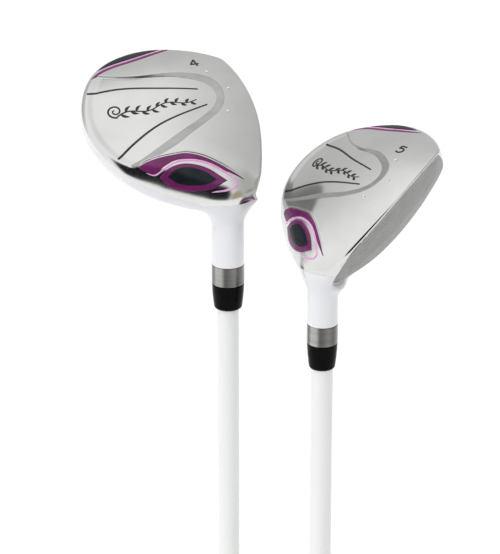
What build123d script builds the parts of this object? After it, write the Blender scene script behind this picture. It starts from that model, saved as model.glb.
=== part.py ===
from build123d import *
import os
from dataclasses import dataclass
from math import cos, radians, sin, tan

# Two hybrid golf clubs, a 4 and a 5, stood up on their butt ends with the heads on top.
# Row frame: millimetres, +Z up along the shafts, origin at the centre of the 4's butt face.
# Head frame: X towards the toe, Y towards the face, Z from sole to crown.
# Its origin is where the shaft's axis meets the ground that the sole stands on.

# Surfaces that bound the head, in the head frame
LIE = 60.0
SOLE_CENTRE = (28.0, 3.0)
SOLE_ROLL_X = 88.0
SOLE_ROLL_Y = 150.0
SOLE_TOP = 65.0
SOLE_SPAN = 35.0
CROWN_CENTRE = (32.0, 5.0)
CROWN_TOP = 36.0
CROWN_ROLL_X = 95.0
CROWN_ROLL_Y = 110.0
CROWN_FLOOR = -25.0
CROWN_SPAN = 42.0
CROWN_EDGE_RADIUS = 6.0
FACE_RADIUS = 200.0
FACE_MID_Z = 14.0
LEADING_EDGE_Z = 1.2
FORM_HEIGHT = 60.0
FORM_FLOOR = -10.0
ROLL_HALF_SPAN = 60.0
OUTLINE_STEPS = 24

# Walls, plates and what is let into them
WALL = 2.0
PLATE_THICKNESS = 2.2
PLATE_RIM = 0.8
FACE_THICKNESS = 2.6
FACE_RIM = 1.0
FACE_LIP = 0.8
RECESS_DEPTH = 0.8
RECESS_ROUND = 5.0
INLAY_DEPTH = 0.6
PAINT_DEPTH = 0.3
LINE_WIDTH = 0.7
NUMERAL_WIDTH = 0.8
GROOVE_WIDTH = 0.8
GROOVE_DEPTH = 0.35
GROOVE_PITCH = 3.0
GROOVE_COUNT = 8
GROOVE_LENGTH = 44.0
GROOVE_CENTRE_X = 24.0
WEIGHT_REACH = 14.0
WEIGHT_HEIGHT = 5.0

# Hosel, ferrule and shaft; each start is a distance from the head frame's origin along the shaft
NECK_START = 10.0
NECK_FLARE = ((12.5, 21.0), (9.6, 27.0), (7.8, 32.0))
NECK_FLARE_END = 38.0
SLEEVE_START = 19.5
SLEEVE_RADIUS = 5.7
BAND_LENGTH = 9.0
FERRULE_LENGTH = 11.3
FERRULE_TAPER = 1.0
FERRULE_ROUND = 0.6
TIP_START = 21.5
TIP_RADIUS = 4.7
TIP_PARALLEL = 230.0
BUTT_RADIUS = 7.6
BUTT_PARALLEL = 120.0
SHAFT_WALL = 1.1
BOND_GAP = 0.1
TIP_WEIGHT_LENGTH = 24.0

# Grip, by height above the butt face
GRIP_LENGTH = 262.0
GRIP_BUTT_RADIUS = 13.0
GRIP_MIDDLE = (10.9, 120.0)
GRIP_MOUTH_RADIUS = 8.7
TAPE_THICKNESS = 0.3
TAPE_MARGIN = 5.0
CAP_RADIUS = 14.0
CAP_HEIGHT = 8.0
CAP_ROUND = 1.5
CAP_FLOOR = 4.0
VENT_RADIUS = 1.2


@dataclass
class Club:
    """The dimensions that differ from club to club, in millimetres and degrees."""

    name: str
    numeral: int
    length: float
    loft: float
    hosel_length: float
    hosel_radius: float
    toe: float
    toe_corner: tuple
    heel: float
    front: float
    rear: float
    axis_x: float
    axis_y: float
    face_turn: float

    def head_place(self):
        """Plane of the head frame in the row frame: X to the toe, Z to the crown."""
        turn = radians(self.face_turn)
        lie = radians(LIE)
        toe = (sin(lie) * sin(turn), sin(lie) * cos(turn), cos(lie))
        crown = (cos(lie) * sin(turn), cos(lie) * cos(turn), -sin(lie))
        origin = (self.axis_x, self.axis_y, self.length)
        return Plane(origin=origin, x_dir=toe, z_dir=crown)

    def shaft_place(self):
        """Plane at the butt end, its Z along the shaft towards the head."""
        return Plane(origin=(self.axis_x, self.axis_y, 0))


FOUR = Club(
    name="four",
    numeral=4,
    length=990.0,
    loft=24.0,
    hosel_length=52.0,
    hosel_radius=6.9,
    toe=69.0,
    toe_corner=(63.5, 6.5),
    heel=-22.0,
    front=21.2,
    rear=-51.5,
    axis_x=0.0,
    axis_y=0.0,
    face_turn=-24.4,
)

FIVE = Club(
    name="five",
    numeral=5,
    length=964.2,
    loft=27.0,
    hosel_length=45.7,
    hosel_radius=6.5,
    toe=64.5,
    toe_corner=(60.8, 8.0),
    heel=-19.5,
    front=22.4,
    rear=-42.0,
    axis_x=39.8,
    axis_y=-18.9,
    face_turn=45.1,
)

# Marks on the sole, drawn on the 4 as (X, Y) and fitted to each club by mark()
RECESS = ((60, -60), (46.5, -10), (38, 9), (24.5, 9.5), (7.5, -17), (5.5, -28), (4, -60))
RECESS_ROUNDS = (20.0, 6.0, 5.0, 8.0, 3.0)
LINES = (((48, -45), (39.5, -23), (34.7, 0)), ((9.8, -44), (14.5, -22), (25.4, 0.6)))
# Each leaf of a medallion is (tip, tip, bulge to the toe side, bulge to the heel side)
HEEL_EYE = ((-3.4, -27.0), (-10.1, -3.0), 4.2, -3.0)
HEEL_RING = ((-2.6, -30.5), (-11.0, 0.5), 5.2, -5.6)
HEEL_LINE = ((-0.4, -33.0), (-11.4, 1.8), 6.6, 1.5)
HEEL_BAND = ((3.5, -37.0), (-11.2, 5.2), 8.0, 2.0)
TOE_EYE = ((63.2, -30.0), (66.9, -1.5), 6.0, -0.5)
TOE_LINE = ((62.0, -32.0), (66.5, 0.5), 6.0, -0.9)
TOE_BAND = ((56.0, -39.5), (65.4, 3.0), 9.0, -1.2)
TOE_MARGIN = 1.4
NUMERAL_CENTRE = (51.0, 4.6)
NUMERAL_HEIGHT = 5.0


def write(part, name, place):
    """Puts a finished piece at its place in the row frame and writes it."""
    piece = part.moved(place.location)
    piece.label = name
    export_step(piece, f"parts/{name}.step")


# Surfaces that bound the head, each as a solid, each moved inwards by its own amount


def outline_curve(club):
    """Plan shape of the head as a closed smooth curve. The face cuts off its front."""
    return Spline(
        (club.toe, -12.0),
        club.toe_corner,
        (46.0, club.front + 3.0),
        (14.0, club.front + 3.5),
        (club.heel + 9.0, 15.5),
        (club.heel, 0.0),
        (club.heel + 6.5, 0.4 * club.rear),
        (1.0, club.rear + 10.0),
        (27.0, club.rear),
        (52.0, club.rear + 7.5),
        (club.toe - 4.0, club.rear + 20.0),
        periodic=True,
    )


def sole_outline(club, rim):
    """The plan shape as a face, moved inwards by rim."""
    curve = outline_curve(club)
    steps = [step / OUTLINE_STEPS for step in range(OUTLINE_STEPS)]
    inward = [(curve % step).rotate(Axis.Z, 90) * rim for step in steps]
    points = [curve @ step + shift for step, shift in zip(steps, inward)]
    with BuildSketch() as outline:
        with BuildLine():
            Spline(points, periodic=True)
        make_face()
    return outline.sketch


def rolled_solid(centre_x, centre_y, axis_z, arc_radius, surface_z, far_z, half_angle):
    """Solid between far_z and a surface with its low or high point at surface_z.

    The surface curves by arc_radius from heel to toe, and about an axis at axis_z from front to back.
    """
    half_span = ROLL_HALF_SPAN
    sag = arc_radius - (arc_radius**2 - half_span**2) ** 0.5
    edge_z = surface_z + sag if axis_z > surface_z else surface_z - sag
    turn = radians(half_angle)
    start = Plane(
        origin=(centre_x, centre_y, axis_z),
        x_dir=(1, 0, 0),
        z_dir=(0, -cos(turn), -sin(turn)),
    )
    with BuildPart() as solid:
        with BuildSketch(start):
            with BuildLine():
                arc = ThreePointArc(
                    (-half_span, edge_z - axis_z),
                    (0, surface_z - axis_z),
                    (half_span, edge_z - axis_z),
                )
                Line(arc @ 1, (half_span, far_z - axis_z))
                Line((half_span, far_z - axis_z), (-half_span, far_z - axis_z))
                Line((-half_span, far_z - axis_z), arc @ 0)
            make_face()
        roll_axis = Axis((centre_x, centre_y, axis_z), (-1, 0, 0))
        revolve(axis=roll_axis, revolution_arc=2 * half_angle)
    return solid.part


def sole_bowl(inset):
    """Everything above the sole's doubly curved surface."""
    centre_x, centre_y = SOLE_CENTRE
    return rolled_solid(
        centre_x, centre_y, SOLE_ROLL_Y, SOLE_ROLL_X - inset, inset, SOLE_TOP, SOLE_SPAN
    )


def crown_dome(inset):
    """Everything below the crown's doubly curved surface."""
    centre_x, centre_y = CROWN_CENTRE
    return rolled_solid(
        centre_x,
        centre_y,
        CROWN_TOP - CROWN_ROLL_Y,
        CROWN_ROLL_X - inset,
        CROWN_TOP - inset,
        CROWN_FLOOR,
        CROWN_SPAN,
    )


def face_ball(club, inset):
    """Everything behind the face, whose bulge and roll are one large sphere."""
    loft = radians(club.loft)
    mid_y = club.front - (FACE_MID_Z - LEADING_EDGE_Z) * tan(loft)
    centre = (
        SOLE_CENTRE[0],
        mid_y - FACE_RADIUS * cos(loft),
        FACE_MID_Z - FACE_RADIUS * sin(loft),
    )
    with BuildPart() as ball:
        with Locations(centre):
            Sphere(FACE_RADIUS - inset)
    return ball.part


def head_form(club, rim=0.0, sole_in=0.0, crown_in=0.0, face_in=0.0, edge=CROWN_EDGE_RADIUS):
    """The head's outer shape with each bounding surface moved inwards."""
    with BuildPart() as form:
        with BuildSketch(Plane.XY.offset(FORM_FLOOR)):
            add(sole_outline(club, rim))
        extrude(amount=FORM_HEIGHT)
        add(crown_dome(crown_in), mode=Mode.INTERSECT)
        fillet(form.edges().sort_by(Axis.Z)[-1], radius=edge)
        add(sole_bowl(sole_in), mode=Mode.INTERSECT)
        add(face_ball(club, face_in), mode=Mode.INTERSECT)
    return form.part


def sole_layer(outline, top, bottom):
    """The part of an outline's prism that lies between two depths under the sole's surface."""
    with BuildPart() as layer:
        with BuildSketch(Plane.XY.offset(FORM_FLOOR)):
            add(outline)
        extrude(amount=FORM_HEIGHT)
        add(sole_bowl(top), mode=Mode.INTERSECT)
        add(sole_bowl(bottom), mode=Mode.SUBTRACT)
    return layer.part


# Sketches of the marks on the sole


def mark(club, point):
    """Moves a point of the 4's sole to the same place on this club's sole."""
    x, y = point
    size = club.toe / FOUR.toe
    reach = club.rear / FOUR.rear if y < 0 else size
    return (x * size, y * reach)


def recess_sketch(club):
    """The arrow-shaped sunk field, its point towards the face."""
    with BuildSketch() as sketch:
        with BuildLine():
            corners = [mark(club, point) for point in RECESS]
            sides = FilletPolyline(corners, radius=list(RECESS_ROUNDS))
            Line(sides @ 1, sides @ 0)
        make_face()
    return sketch.sketch


def leaf_sketch(club, leaf):
    """A pointed leaf between two tips; each bulge is how far that side stands off the chord."""
    *tips, toe_bulge, heel_bulge = leaf
    start, end = (Vector(*mark(club, tip)) for tip in tips)
    middle = (start + end) / 2
    side = (end - start).normalized().rotate(Axis.Z, -90)
    with BuildSketch() as sketch:
        with BuildLine():
            ThreePointArc(start, middle + side * toe_bulge, end)
            ThreePointArc(end, middle + side * heel_bulge, start)
        make_face()
    return sketch.sketch


def lines_sketch(club):
    """The two thin lines that run along the arms of the recess."""
    with BuildSketch() as sketch:
        for points in LINES:
            with BuildLine() as path:
                ThreePointArc(*[mark(club, point) for point in points])
            trace(path.line, line_width=LINE_WIDTH)
    return sketch.sketch


def numeral_sketch(club):
    """The club's number in plain strokes. It reads towards the face, its top towards the toe."""
    x, y = mark(club, NUMERAL_CENTRE)
    half = NUMERAL_HEIGHT / 2
    strokes = {
        4: [((half, 0.5), (-0.9, -1.8), (-0.9, 1.6)), ((half, 0.5), (-half, 0.5))],
        5: [((half, 1.4), (half, -1.2), (0.4, -1.3), (0.7, 0.3), (-0.2, 1.4), (-1.6, 1.2))],
    }
    if club.numeral == 5:
        strokes[5].append(((-1.6, 1.2), (-half, 0.0), (-2.0, -1.5)))
    with BuildSketch() as sketch:
        for stroke in strokes[club.numeral]:
            with BuildLine() as path:
                Polyline([(x + up, y + along) for up, along in stroke])
            trace(path.line, line_width=NUMERAL_WIDTH)
    return sketch.sketch


def heel_sketches(club):
    """The heel medallion's eye, pinstripe and plum areas, each clear of the others."""
    eye, ring, line, band = (
        leaf_sketch(club, leaf) for leaf in (HEEL_EYE, HEEL_RING, HEEL_LINE, HEEL_BAND)
    )
    with BuildSketch() as pinstripe:
        add(line)
        add(ring, mode=Mode.SUBTRACT)
    with BuildSketch() as plum:
        add(band)
        add(line, mode=Mode.SUBTRACT)
        add(ring)
        add(eye, mode=Mode.SUBTRACT)
    return eye, pinstripe.sketch, plum.sketch


def toe_sketches(club):
    """The toe medallion's eye, pinstripe and plum areas, cut off along the edge of the sole."""
    inside = sole_outline(club, TOE_MARGIN)
    areas = []
    for outer, inner in ((TOE_EYE, None), (TOE_LINE, TOE_EYE), (TOE_BAND, TOE_LINE)):
        with BuildSketch() as area:
            add(leaf_sketch(club, outer))
            add(inside, mode=Mode.INTERSECT)
            if inner:
                add(leaf_sketch(club, inner), mode=Mode.SUBTRACT)
        areas.append(area.sketch)
    return areas


# Head pieces, in the head frame

SHAFT_DIRECTION = (-cos(radians(LIE)), 0, sin(radians(LIE)))
SHAFT_AXIS = Axis((0, 0, 0), SHAFT_DIRECTION)
SHAFT_PROFILE = Plane(origin=(0, 0, 0), x_dir=(sin(radians(LIE)), 0, cos(radians(LIE))), z_dir=(0, -1, 0))


def neck(club):
    """The neck that carries the hosel, flared where it grows out of the heel."""
    radius = club.hosel_radius
    with BuildPart() as solid:
        with BuildSketch(SHAFT_PROFILE):
            with BuildLine():
                foot = NECK_FLARE[0]
                Polyline((0, NECK_START), (foot[0], NECK_START), foot)
                Spline(*NECK_FLARE, (radius, NECK_FLARE_END), tangents=[(0, 1), (0, 1)])
                top = (radius, club.hosel_length)
                Polyline((radius, NECK_FLARE_END), top, (0, club.hosel_length), (0, NECK_START))
            make_face()
        revolve(axis=SHAFT_AXIS)
        add(sole_bowl(WALL), mode=Mode.INTERSECT)
    return solid.part


def face_block(club):
    """The front slice of the head that the face plate fills."""
    with BuildPart() as block:
        add(head_form(club, FACE_RIM, FACE_LIP, FACE_RIM, edge=CROWN_EDGE_RADIUS - FACE_RIM))
        add(face_ball(club, FACE_THICKNESS), mode=Mode.SUBTRACT)
        add(neck(club), mode=Mode.SUBTRACT)
    return block.part


def plate_block(club):
    """The slice of the head that the sole plate fills."""
    with BuildPart() as block:
        add(sole_layer(sole_outline(club, PLATE_RIM), 0, PLATE_THICKNESS))
        add(face_ball(club, 0), mode=Mode.INTERSECT)
        add(face_block(club), mode=Mode.SUBTRACT)
    return block.part


def cavity(club):
    """The hollow inside the head."""
    edge = CROWN_EDGE_RADIUS - WALL
    return head_form(club, WALL, PLATE_THICKNESS, WALL, FACE_THICKNESS, edge)


def crown_body(club):
    """The cast shell: crown, skirt and neck, open where the sole and face plates go."""
    with BuildPart() as body:
        add(head_form(club))
        add(neck(club))
        add(cavity(club), mode=Mode.SUBTRACT)
        add(plate_block(club), mode=Mode.SUBTRACT)
        add(face_block(club), mode=Mode.SUBTRACT)
        with BuildSketch(Plane(origin=(0, 0, 0), z_dir=SHAFT_DIRECTION).offset(SLEEVE_START)):
            Circle(SLEEVE_RADIUS)
        extrude(amount=FORM_HEIGHT, mode=Mode.SUBTRACT)
    return body.part


def sole_cuts(club):
    """Everything let into the sole plate: name, sketch, and its two depths."""
    floor = RECESS_DEPTH
    heel_eye, heel_line, heel_plum = heel_sketches(club)
    toe_eye, toe_line, toe_plum = toe_sketches(club)
    return [
        ("heel_badge_eye", heel_eye, 0, INLAY_DEPTH),
        ("heel_badge_line", heel_line, 0, INLAY_DEPTH),
        ("heel_badge_plum", heel_plum, 0, INLAY_DEPTH),
        ("toe_badge_eye", toe_eye, 0, INLAY_DEPTH),
        ("toe_badge_line", toe_line, 0, INLAY_DEPTH),
        ("toe_badge_plum", toe_plum, 0, INLAY_DEPTH),
        ("sole_lines", lines_sketch(club), floor, floor + PAINT_DEPTH),
        ("sole_numeral", numeral_sketch(club), 0, PAINT_DEPTH),
    ]


def sole_plate(club, inlays):
    """The polished plate, with its recess and a pocket for each inlay."""
    with BuildPart() as plate:
        add(plate_block(club))
        add(sole_layer(recess_sketch(club), 0, RECESS_DEPTH), mode=Mode.SUBTRACT)
        add(inlays, mode=Mode.SUBTRACT)
    return plate.part


def face_plate(club):
    """The hitting face with its score lines."""
    loft = radians(club.loft)
    middle_y = club.front - (FACE_MID_Z - LEADING_EDGE_Z) * tan(loft)
    middle = Plane(
        origin=(GROOVE_CENTRE_X, middle_y, FACE_MID_Z),
        x_dir=(1, 0, 0),
        z_dir=(0, cos(loft), sin(loft)),
    )
    with BuildPart() as grooves:
        with Locations(middle):
            with GridLocations(1, GROOVE_PITCH, 1, GROOVE_COUNT):
                Box(GROOVE_LENGTH, GROOVE_WIDTH, FACE_RADIUS / 10)
        add(face_ball(club, GROOVE_DEPTH), mode=Mode.SUBTRACT)
    with BuildPart() as plate:
        add(face_block(club))
        add(grooves.part, mode=Mode.SUBTRACT)
    return plate.part


def back_weight(club):
    """The steel pad fixed inside the back of the head, on the sole plate."""
    with BuildPart() as pad:
        add(cavity(club))
        add(sole_bowl(PLATE_THICKNESS + WEIGHT_HEIGHT), mode=Mode.SUBTRACT)
        split(bisect_by=Plane.XZ.offset(-club.rear - WEIGHT_REACH), keep=Keep.TOP)
    return pad.part


# Pieces turned about the shaft, by height above the butt face


def turned(profile):
    """A solid of revolution about the shaft from its half section, (radius, height) points."""
    with BuildPart() as solid:
        with BuildSketch(Plane.XZ):
            with BuildLine():
                Polyline(profile, close=True)
            make_face()
        revolve(axis=Axis.Z)
    return solid.part


def shaft_radius(club, height):
    """Outer radius of the shaft: parallel at both ends, tapered between them."""
    taper_top = club.length - TIP_PARALLEL
    share = (height - BUTT_PARALLEL) / (taper_top - BUTT_PARALLEL)
    share = min(max(share, 0.0), 1.0)
    return BUTT_RADIUS + share * (TIP_RADIUS - BUTT_RADIUS)


def hosel_sleeve(club):
    """The bare steel tube in the neck; its end stands out as a band."""
    start = club.length - SLEEVE_START
    shoulder = club.length - club.hosel_length
    end = shoulder - BAND_LENGTH
    bore = TIP_RADIUS + BOND_GAP
    return turned(
        [
            (bore, start),
            (SLEEVE_RADIUS, start),
            (SLEEVE_RADIUS, shoulder),
            (club.hosel_radius, shoulder),
            (club.hosel_radius, end),
            (bore, end),
        ]
    )


def ferrule(club):
    """The tapered plastic collar under the hosel, its lower end rounded."""
    top = club.length - club.hosel_length - BAND_LENGTH
    low = top - FERRULE_LENGTH
    low_radius = club.hosel_radius - FERRULE_TAPER
    with BuildPart() as collar:
        with BuildSketch(Plane.XZ):
            with BuildLine():
                Polyline(
                    (TIP_RADIUS, low),
                    (low_radius, low),
                    (club.hosel_radius, top),
                    (TIP_RADIUS, top),
                    close=True,
                )
            make_face()
        revolve(axis=Axis.Z)
        outer_edge = collar.edges().group_by(Axis.Z)[0].sort_by(SortBy.RADIUS)[-1]
        fillet(outer_edge, radius=FERRULE_ROUND)
    return collar.part


def shaft(club):
    """The hollow tapered tube, from the grip cap to the bottom of the hosel."""
    tip = club.length - TIP_START
    heights = [CAP_FLOOR, BUTT_PARALLEL, club.length - TIP_PARALLEL, tip]
    outside = [(shaft_radius(club, height), height) for height in heights]
    inside = [(radius - SHAFT_WALL, height) for radius, height in reversed(outside)]
    return turned(outside + inside)


def tip_weight(club):
    """The swing weight: a pin in the shaft's tip, with a head that closes it."""
    tip = club.length - TIP_START
    head_top = club.length - SLEEVE_START
    pin = TIP_RADIUS - SHAFT_WALL
    return turned(
        [
            (0, tip - TIP_WEIGHT_LENGTH),
            (pin, tip - TIP_WEIGHT_LENGTH),
            (pin, tip),
            (TIP_RADIUS, tip),
            (TIP_RADIUS, head_top),
            (0, head_top),
        ]
    )


def bond(club):
    """The glue line between the shaft's tip and the hosel."""
    low = club.length - club.hosel_length - BAND_LENGTH
    high = club.length - TIP_START
    inner, outer = TIP_RADIUS, TIP_RADIUS + BOND_GAP
    return turned([(inner, low), (outer, low), (outer, high), (inner, high)])


def grip_tape(club):
    """The tape wound on the shaft under the grip."""
    heights = [CAP_HEIGHT, BUTT_PARALLEL, GRIP_LENGTH - TAPE_MARGIN]
    inside = [(shaft_radius(club, height), height) for height in heights]
    outside = [(radius + TAPE_THICKNESS, height) for radius, height in reversed(inside)]
    return turned(inside + outside)


def grip(club):
    """The tapered rubber sleeve over the tape."""
    tape_end = GRIP_LENGTH - TAPE_MARGIN
    heights = [CAP_HEIGHT, BUTT_PARALLEL, tape_end]
    bore = [(shaft_radius(club, height) + TAPE_THICKNESS, height) for height in heights]
    mouth_bore = shaft_radius(club, GRIP_LENGTH)
    with BuildPart() as sleeve:
        with BuildSketch(Plane.XZ):
            with BuildLine():
                start = (GRIP_BUTT_RADIUS, CAP_HEIGHT)
                end = (GRIP_MOUTH_RADIUS, GRIP_LENGTH)
                ThreePointArc(start, GRIP_MIDDLE, end)
                throat = [(mouth_bore, GRIP_LENGTH), (shaft_radius(club, tape_end), tape_end)]
                Polyline(end, *throat, *reversed(bore), start)
            make_face()
        revolve(axis=Axis.Z)
    return sleeve.part


def grip_cap():
    """The rounded cap on the butt end, with a vent hole through its floor."""
    with BuildPart() as cap:
        Cylinder(CAP_RADIUS, CAP_HEIGHT, align=(Align.CENTER, Align.CENTER, Align.MIN))
        fillet(cap.edges().filter_by(GeomType.CIRCLE), radius=CAP_ROUND)
        with Locations((0, 0, CAP_FLOOR)):
            Cylinder(
                BUTT_RADIUS,
                CAP_HEIGHT,
                align=(Align.CENTER, Align.CENTER, Align.MIN),
                mode=Mode.SUBTRACT,
            )
        Hole(VENT_RADIUS)
    return cap.part


def build(club):
    """Makes and writes every piece of one club."""
    head = club.head_place()
    inlays = []
    for name, outline, top, bottom in sole_cuts(club):
        inlay = sole_layer(outline, top, bottom)
        inlays.append(inlay)
        write(inlay, f"{club.name}_{name}", head)
    head_pieces = {
        "sole_plate": sole_plate(club, inlays),
        "face_plate": face_plate(club),
        "crown_body": crown_body(club),
        "back_weight": back_weight(club),
    }
    for name, piece in head_pieces.items():
        write(piece, f"{club.name}_{name}", head)
    shaft_pieces = {
        "hosel_sleeve": hosel_sleeve(club),
        "ferrule": ferrule(club),
        "shaft": shaft(club),
        "tip_weight": tip_weight(club),
        "bond": bond(club),
        "grip_tape": grip_tape(club),
        "grip": grip(club),
        "grip_cap": grip_cap(),
    }
    for name, piece in shaft_pieces.items():
        write(piece, f"{club.name}_{name}", club.shaft_place())


os.makedirs("parts", exist_ok=True)
for golf_club in (FOUR, FIVE):
    build(golf_club)
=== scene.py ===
"""Two hybrid golf clubs, heads up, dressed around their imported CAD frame.

Shapes are worked out in millimetres and turned into metres as each mesh is made.
Head frame: X towards the toe, Y towards the face, Z from sole to crown, with its origin on the shaft's axis.
"""

import math

import bpy
import numpy as np
from mathutils import Matrix, Vector


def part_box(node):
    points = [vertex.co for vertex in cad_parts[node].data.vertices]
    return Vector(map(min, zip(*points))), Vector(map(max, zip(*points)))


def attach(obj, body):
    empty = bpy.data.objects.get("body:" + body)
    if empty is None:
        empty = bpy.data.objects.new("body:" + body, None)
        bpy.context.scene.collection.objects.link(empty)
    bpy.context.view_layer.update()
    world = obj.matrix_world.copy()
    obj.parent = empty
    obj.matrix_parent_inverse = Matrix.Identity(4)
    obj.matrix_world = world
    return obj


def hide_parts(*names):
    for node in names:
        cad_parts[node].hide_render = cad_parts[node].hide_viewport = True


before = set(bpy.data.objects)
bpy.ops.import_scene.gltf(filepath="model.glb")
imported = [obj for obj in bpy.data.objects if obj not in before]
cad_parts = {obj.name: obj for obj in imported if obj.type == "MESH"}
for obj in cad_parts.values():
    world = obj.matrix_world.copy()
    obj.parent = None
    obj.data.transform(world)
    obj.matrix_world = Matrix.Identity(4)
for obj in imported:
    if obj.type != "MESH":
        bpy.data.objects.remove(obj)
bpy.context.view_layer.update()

MM = 0.001

# Surfaces that bound a head, and standard sizes
LIE = math.radians(60.0)
SOLE_CENTRE = (28.0, 3.0)
SOLE_ROLL = (88.0, 150.0)
CROWN_CENTRE = (32.0, 5.0)
CROWN_ROLL = (95.0, 110.0)
CROWN_TOP = 36.0
CROWN_EDGE = 7.0
FACE_RADIUS = 200.0
FACE_MID_Z = 14.0
LEADING_EDGE_Z = 1.2
BAND_LENGTH = 9.0
FERRULE_LENGTH = 11.3
TIP_RADIUS = 4.7
TIP_PARALLEL = 230.0
SHAFT_WALL = 1.1
BUTT_RADIUS = 7.6
BUTT_PARALLEL = 120.0
GRIP_LENGTH = 262.0

# Edges, joins and reliefs of the head
PLAN_CENTRE = np.array((25.0, -12.0))
HARMONICS = 14
NECK_FOOT = 22.0
NECK_BLEND = 7.5
SEAT_DEPTH = 1.7
FACE_PROUD = 0.9
ARROW_MIDDLE = 27.0
RECESS_DEPTH = 1.0
BEVEL_SPAN = slice(18, 142)
PLATE_PROUD = 0.08
PLATE_EYE_Z = 13.0
NET_CELL = 0.9


class Club:
    """One club's dimensions and the turn between its head frame and the row frame."""

    def __init__(self, name, numeral, length, face_turn, loft, hosel, plate_end, face_end, plan, marks):
        self.name = name
        self.numeral = numeral
        self.body = f"{name}_club"
        low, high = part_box(f"{name}_shaft")
        self.axis = ((low + high) / 2 / MM).to_2d()
        self.length = length
        self.loft = math.radians(loft)
        self.hosel_length, self.hosel_radius = hosel
        self.plate_end = plate_end
        self.face_end = face_end
        self.front = plan["front"]
        self.rear = plan["rear"]
        self.size, self.reach, self.draw_in = marks
        turn = math.radians(face_turn)
        toe = Vector((math.sin(LIE) * math.sin(turn), math.sin(LIE) * math.cos(turn), math.cos(LIE)))
        crown = Vector((math.cos(LIE) * math.sin(turn), math.cos(LIE) * math.cos(turn), -math.sin(LIE)))
        face = crown.cross(toe)
        self.head_matrix = Matrix.Translation((*(self.axis * MM), self.length * MM)) @ Matrix(
            (
                (toe.x, face.x, crown.x, 0),
                (toe.y, face.y, crown.y, 0),
                (toe.z, face.z, crown.z, 0),
                (0, 0, 0, 1),
            )
        )
        self.head_turn = np.array(self.head_matrix.to_3x3())
        self.shaft_matrix = Matrix.Translation((*(self.axis * MM), 0))
        self.waves = outline_waves(outline(**plan))

    def field(self, points):
        """Fits points of the 4's arrow field to this club, whose arrow is drawn in at the back."""
        points = np.array(points, float)
        away = points[:, 0] - ARROW_MIDDLE
        points[:, 0] = ARROW_MIDDLE + away * (1 - self.draw_in * smoothstep(0.0, -20.0, points[:, 1]))
        return self.mark(points)

    def mark(self, points):
        """Fits points drawn on the 4's sole to this club's sole."""
        points = np.array(points, float)
        scale = np.where(points[:, 1] < 0, self.reach, self.size)
        return np.stack((points[:, 0] * self.size, points[:, 1] * scale), axis=1)


# ---------------------------------------------------------------- curves


def closed_spline(points, count):
    """Points on a closed cubic spline through the given ones, its curvature unbroken."""
    points = np.array(points, float)
    size = len(points)
    ahead = np.roll(points, -1, axis=0)
    gap = np.linalg.norm(ahead - points, axis=1)
    before = np.roll(gap, 1)
    rows = np.zeros((size, size))
    for k in range(size):
        rows[k, k - 1] = gap[k]
        rows[k, k] = 2 * (gap[k] + before[k])
        rows[k, (k + 1) % size] = before[k]
    slope = (ahead - points) / gap[:, None]
    right = 3 * (gap[:, None] * np.roll(slope, 1, axis=0) + before[:, None] * slope)
    speed = np.linalg.solve(rows, right)
    t = np.linspace(0, 1, count // size, endpoint=False)[None, :, None]
    p, q = points[:, None], ahead[:, None]
    m = (speed * gap[:, None])[:, None]
    n = (np.roll(speed, -1, axis=0) * gap[:, None])[:, None]
    curve = (2 * t**3 - 3 * t**2 + 1) * p + (t**3 - 2 * t**2 + t) * m
    curve = curve + (3 * t**2 - 2 * t**3) * q + (t**3 - t**2) * n
    return curve.reshape(-1, 2)


def open_spline(points, count):
    """Evenly stepped points on an open smooth curve through the given ones."""
    points = np.array(points, float)
    first = 2 * points[0] - points[1]
    last = 2 * points[-1] - points[-2]
    return catmull(np.concatenate((first[None], points, last[None])), count)


def blend(t, low, high, first, last):
    """The value at t of a straight run between two knots."""
    return (high - t) / (high - low) * first + (t - low) / (high - low) * last


def catmull(points, count):
    """A centripetal Catmull-Rom curve through all but the end points, evenly stepped."""
    fine = []
    knots = np.concatenate(([0], np.cumsum(np.sqrt(np.linalg.norm(np.diff(points, axis=0), axis=1)))))
    for i in range(1, len(points) - 2):
        t = np.linspace(knots[i], knots[i + 1], 40, endpoint=i == len(points) - 3)[:, None]
        k = knots[i - 1 : i + 3]
        p = points[i - 1 : i + 3]
        a = [blend(t, k[j], k[j + 1], p[j], p[j + 1]) for j in range(3)]
        b = [blend(t, k[j], k[j + 2], a[j], a[j + 1]) for j in range(2)]
        fine.append(blend(t, k[1], k[2], b[0], b[1]))
    fine = np.concatenate(fine)
    run = np.concatenate(([0], np.cumsum(np.linalg.norm(np.diff(fine, axis=0), axis=1))))
    steps = np.linspace(0, run[-1], count)
    return np.stack([np.interp(steps, run, fine[:, k]) for k in range(2)], axis=1)


def outline(toe, toe_corner, heel, front, rear):
    """Plan outline of a head, from the places of its toe, heel, front and back."""
    return (
        (toe, -12.0),
        toe_corner,
        (46.0, front + 3.0),
        (14.0, front + 3.5),
        (heel + 9.0, 15.5),
        (heel, 0.0),
        (heel + 6.5, 0.4 * rear),
        (1.0, rear + 10.0),
        (27.0, rear),
        (52.0, rear + 7.5),
        (toe - 4.0, rear + 20.0),
    )


def outline_waves(points):
    """The outline's distance from its centre as a short Fourier series of the angle."""
    curve = closed_spline(points, 1650) - PLAN_CENTRE
    angle = np.arctan2(curve[:, 1], curve[:, 0])
    order = np.argsort(angle)
    even = np.linspace(-math.pi, math.pi, 720, endpoint=False)
    radius = np.interp(even, angle[order], np.linalg.norm(curve, axis=1)[order], period=2 * math.pi)
    terms = np.arange(HARMONICS + 1)
    waves = (radius[None] * np.exp(-1j * terms[:, None] * even[None])).mean(axis=1)
    waves[1:] *= 2
    return waves


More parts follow.
